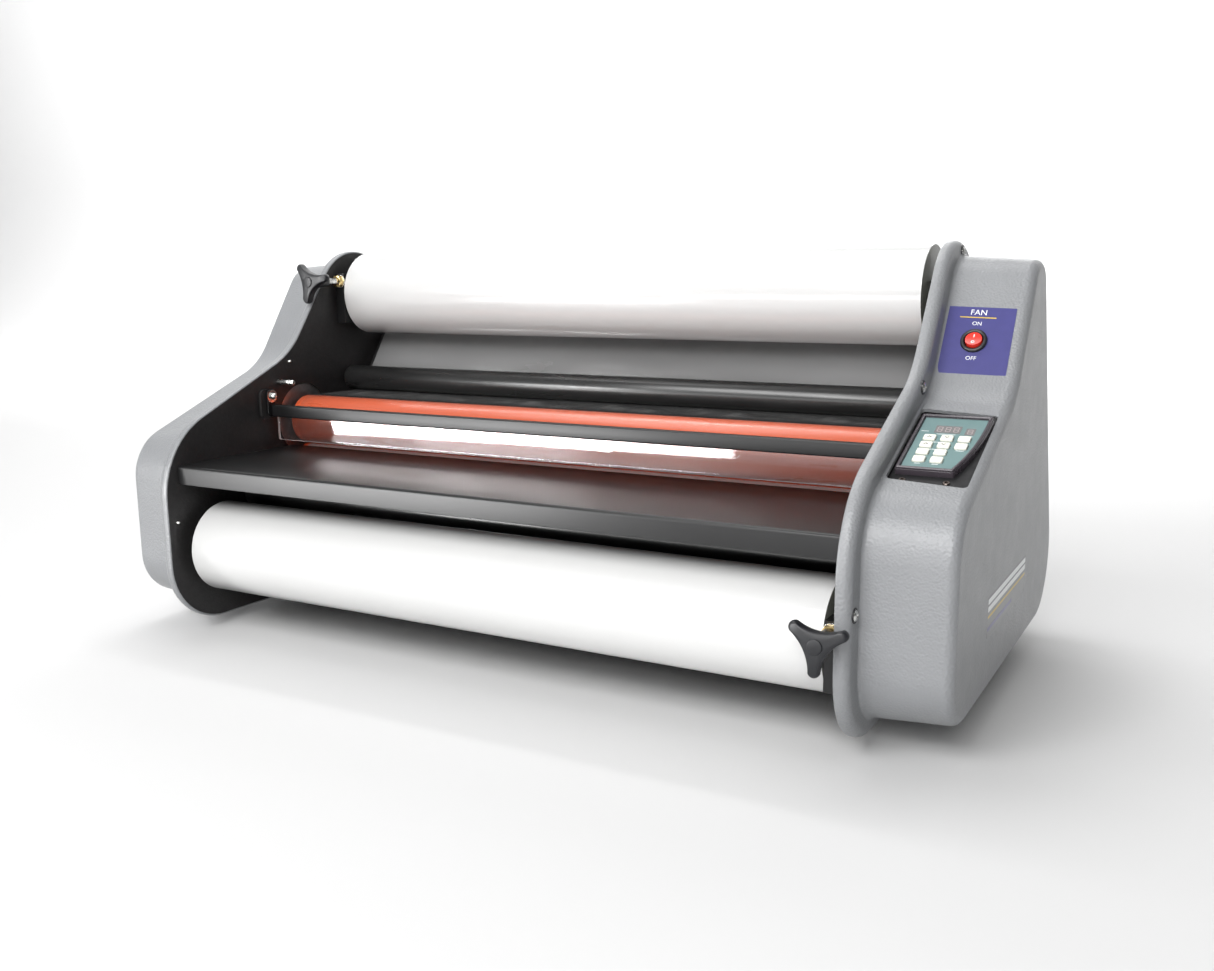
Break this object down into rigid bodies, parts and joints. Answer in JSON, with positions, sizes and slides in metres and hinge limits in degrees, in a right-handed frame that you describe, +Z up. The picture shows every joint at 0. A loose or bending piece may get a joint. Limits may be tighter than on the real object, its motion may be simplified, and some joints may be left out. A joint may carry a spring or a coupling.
{
  "type": "roll laminator",
  "caption": "Desktop roll laminator with two film rolls, heated silicone nip rollers, a feed table, a hinged clear heat shield and a keypad in moulded side covers.",
  "frame": {"origin": "on the surface it stands on, under the middle of the machine's overall box", "axes": "+X along the rollers to the operator's right, +Y from the operator to the rear, +Z up"},
  "size_m": [0.882, 0.497, 0.4035],
  "materials": {
    "cover_plastic": "moulded with a fine leather grain",
    "black_powder_coat": "wrinkle powder coat",
    "satin_black": "satin enamel",
    "film_roll": "wound clear film, milky white in the roll",
    "film_web": "thin clear film, hazed",
    "steel": "turned and brushed",
    "silicone": "smooth orange-red silicone rubber",
    "black_rubber": "ground rubber",
    "black_plastic": "moulded, light texture",
    "clear_acrylic": "clear sheet",
    "keypad_film": "printed matte film",
    "key_plastic": "satin",
    "red_plastic": "polished",
    "brass": "turned",
    "circuit_board": "solder mask"
  },
  "bodies": {
    "frame": {"left_side_plate": "black_powder_coat", "right_side_plate": "black_powder_coat", "left_side_cover": "cover_plastic", "right_side_cover": "cover_plastic", "base_pan": "black_powder_coat", "left_foot_rail": "black_rubber", "right_foot_rail": "black_rubber", "rear_hood": "black_powder_coat", "blower_housing": "black_powder_coat", "left_bearing_plate": "steel", "right_bearing_plate": "steel", "upper_heater_rod": "steel", "lower_heater_rod": "steel", "drive_chain": "steel", "gear_motor": "steel", "control_board": "circuit_board", "power_inlet": "black_plastic", "upper_brake_clamp": "satin_black", "upper_shaft_rest": "satin_black", "lower_brake_clamp": "satin_black", "lower_shaft_rest": "satin_black", "upper_film_web": "film_web", "left_table_rail": "black_powder_coat", "right_table_rail": "black_powder_coat", "left_shield_bracket": "black_powder_coat", "right_shield_bracket": "black_powder_coat", "keypad_housing": "black_plastic", "keypad_face": "keypad_film", "fan_switch_bezel": "black_plastic"},
    "upper_supply": {"upper_film_roll": "film_roll", "upper_spindle": "steel"},
    "lower_supply": {"lower_film_roll": "film_roll", "lower_spindle": "steel"},
    "upper_heat_roller": {"upper_roller_core": "steel", "upper_roller_sleeve": "silicone"},
    "lower_heat_roller": {"lower_roller_core": "steel", "lower_roller_sleeve": "silicone"},
    "upper_pull": {"upper_pull_roller": "black_rubber"},
    "lower_pull": {"lower_pull_roller": "black_rubber"},
    "upper_idler": {"upper_idler_bar": "satin_black"},
    "lower_idler": {"lower_idler_bar": "satin_black"},
    "pinion": {"motor_pinion": "brass"},
    "blower": {"blower_drum": "black_plastic"},
    "heat_shield": {"shield_bar": "satin_black", "shield_panel": "clear_acrylic"},
    "table": {"feed_table": "satin_black"},
    "upper_knob": {"upper_brake_knob": "black_plastic"},
    "lower_knob": {"lower_brake_knob": "black_plastic"},
    "fan_rocker": {"fan_switch_rocker": "red_plastic"},
    "main_rocker": {"power_rocker": "red_plastic"},
    "button_preheat_up": {"key_preheat_up": "key_plastic"},
    "button_preheat_down": {"key_preheat_down": "key_plastic"},
    "button_measure": {"key_measure": "key_plastic"},
    "button_speed_up": {"key_speed_up": "key_plastic"},
    "button_speed_down": {"key_speed_down": "key_plastic"},
    "button_standby": {"key_standby": "key_plastic"},
    "button_heat": {"key_heat": "key_plastic"},
    "button_cold": {"key_cold": "key_plastic"},
    "button_run": {"key_run": "key_plastic"},
    "button_stop": {"key_stop": "key_plastic"}
  },
  "joints": [
    {"name": "upper_supply_spin", "type": "hinge", "parent": "frame", "child": "upper_supply", "pos_m": [0, 0.0925, 0.353], "axis": [1, 0, 0], "continuous": true},
    {"name": "lower_supply_spin", "type": "hinge", "parent": "frame", "child": "lower_supply", "pos_m": [0, -0.1621, 0.0913], "axis": [1, 0, 0], "continuous": true},
    {"name": "upper_heat_spin", "type": "hinge", "parent": "frame", "child": "upper_heat_roller", "pos_m": [0, -0.0175, 0.2113], "axis": [1, 0, 0], "continuous": true},
    {"name": "lower_heat_spin", "type": "hinge", "parent": "frame", "child": "lower_heat_roller", "pos_m": [0, -0.0175, 0.1564], "axis": [1, 0, 0], "continuous": true},
    {"name": "upper_pull_spin", "type": "hinge", "parent": "frame", "child": "upper_pull", "pos_m": [0, 0.165, 0.203], "axis": [1, 0, 0], "continuous": true},
    {"name": "lower_pull_spin", "type": "hinge", "parent": "frame", "child": "lower_pull", "pos_m": [0, 0.165, 0.1647], "axis": [1, 0, 0], "continuous": true},
    {"name": "upper_idler_spin", "type": "hinge", "parent": "frame", "child": "upper_idler", "pos_m": [0, 0.063, 0.2528], "axis": [1, 0, 0], "continuous": true},
    {"name": "lower_idler_spin", "type": "hinge", "parent": "frame", "child": "lower_idler", "pos_m": [0, -0.1075, 0.138], "axis": [1, 0, 0], "continuous": true},
    {"name": "blower_spin", "type": "hinge", "parent": "frame", "child": "blower", "pos_m": [0, 0.141, 0.258], "axis": [1, 0, 0], "continuous": true},
    {"name": "motor_pinion_spin", "type": "hinge", "parent": "frame", "child": "pinion", "pos_m": [-0.391, 0.00385, 0.11942], "axis": [1, 0, 0], "continuous": true},
    {"name": "shield_hinge", "type": "hinge", "parent": "frame", "child": "heat_shield", "pos_m": [0, -0.075, 0.243], "axis": [-1, 0, 0], "range_deg": [0, 105]},
    {"name": "table_slide", "type": "slide", "parent": "frame", "child": "table", "axis": [0, -1, 0], "range_m": [0, 0.18]},
    {"name": "upper_knob_turn", "type": "hinge", "parent": "frame", "child": "upper_knob", "pos_m": [-0.3502, -0.009, 0.368], "axis": [0, 1, 0], "range_deg": [-180, 180]},
    {"name": "lower_knob_turn", "type": "hinge", "parent": "frame", "child": "lower_knob", "pos_m": [0.3502, -0.248, 0.1063], "axis": [0, 1, 0], "range_deg": [-180, 180]},
    {"name": "fan_switch_rock", "type": "hinge", "parent": "frame", "child": "fan_rocker", "pos_m": [0.398, 0.0166, 0.31587], "axis": [1, 0, 0], "range_deg": [0, 22.9]},
    {"name": "main_switch_rock", "type": "hinge", "parent": "frame", "child": "main_rocker", "pos_m": [0.2945, 0.1933, 0.092], "axis": [1, 0, 0], "range_deg": [0, 22.9]},
    {"name": "press_preheat_up", "type": "slide", "parent": "frame", "child": "button_preheat_up", "axis": [0, 0.3714, -0.9285], "range_m": [0, 0.0012], "stiffness_N_per_m": 400},
    {"name": "press_preheat_down", "type": "slide", "parent": "frame", "child": "button_preheat_down", "axis": [0, 0.3714, -0.9285], "range_m": [0, 0.0012], "stiffness_N_per_m": 400},
    {"name": "press_measure", "type": "slide", "parent": "frame", "child": "button_measure", "axis": [0, 0.3714, -0.9285], "range_m": [0, 0.0012], "stiffness_N_per_m": 400},
    {"name": "press_speed_up", "type": "slide", "parent": "frame", "child": "button_speed_up", "axis": [0, 0.3714, -0.9285], "range_m": [0, 0.0012], "stiffness_N_per_m": 400},
    {"name": "press_speed_down", "type": "slide", "parent": "frame", "child": "button_speed_down", "axis": [0, 0.3714, -0.9285], "range_m": [0, 0.0012], "stiffness_N_per_m": 400},
    {"name": "press_standby", "type": "slide", "parent": "frame", "child": "button_standby", "axis": [0, 0.3714, -0.9285], "range_m": [0, 0.0012], "stiffness_N_per_m": 400},
    {"name": "press_heat", "type": "slide", "parent": "frame", "child": "button_heat", "axis": [0, 0.3714, -0.9285], "range_m": [0, 0.0012], "stiffness_N_per_m": 400},
    {"name": "press_cold", "type": "slide", "parent": "frame", "child": "button_cold", "axis": [0, 0.3714, -0.9285], "range_m": [0, 0.0012], "stiffness_N_per_m": 400},
    {"name": "press_run", "type": "slide", "parent": "frame", "child": "button_run", "axis": [0, 0.3714, -0.9285], "range_m": [0, 0.0012], "stiffness_N_per_m": 400},
    {"name": "press_stop", "type": "slide", "parent": "frame", "child": "button_stop", "axis": [0, 0.3714, -0.9285], "range_m": [0, 0.0012], "stiffness_N_per_m": 400}
  ],
  "couplings": [
    {"joint": "lower_heat_spin", "follows": "upper_heat_spin", "ratio": -1},
    {"joint": "upper_pull_spin", "follows": "upper_heat_spin", "ratio": 1.4375},
    {"joint": "lower_pull_spin", "follows": "upper_heat_spin", "ratio": -1.4375},
    {"joint": "motor_pinion_spin", "follows": "upper_heat_spin", "ratio": 1.8}
  ]
}
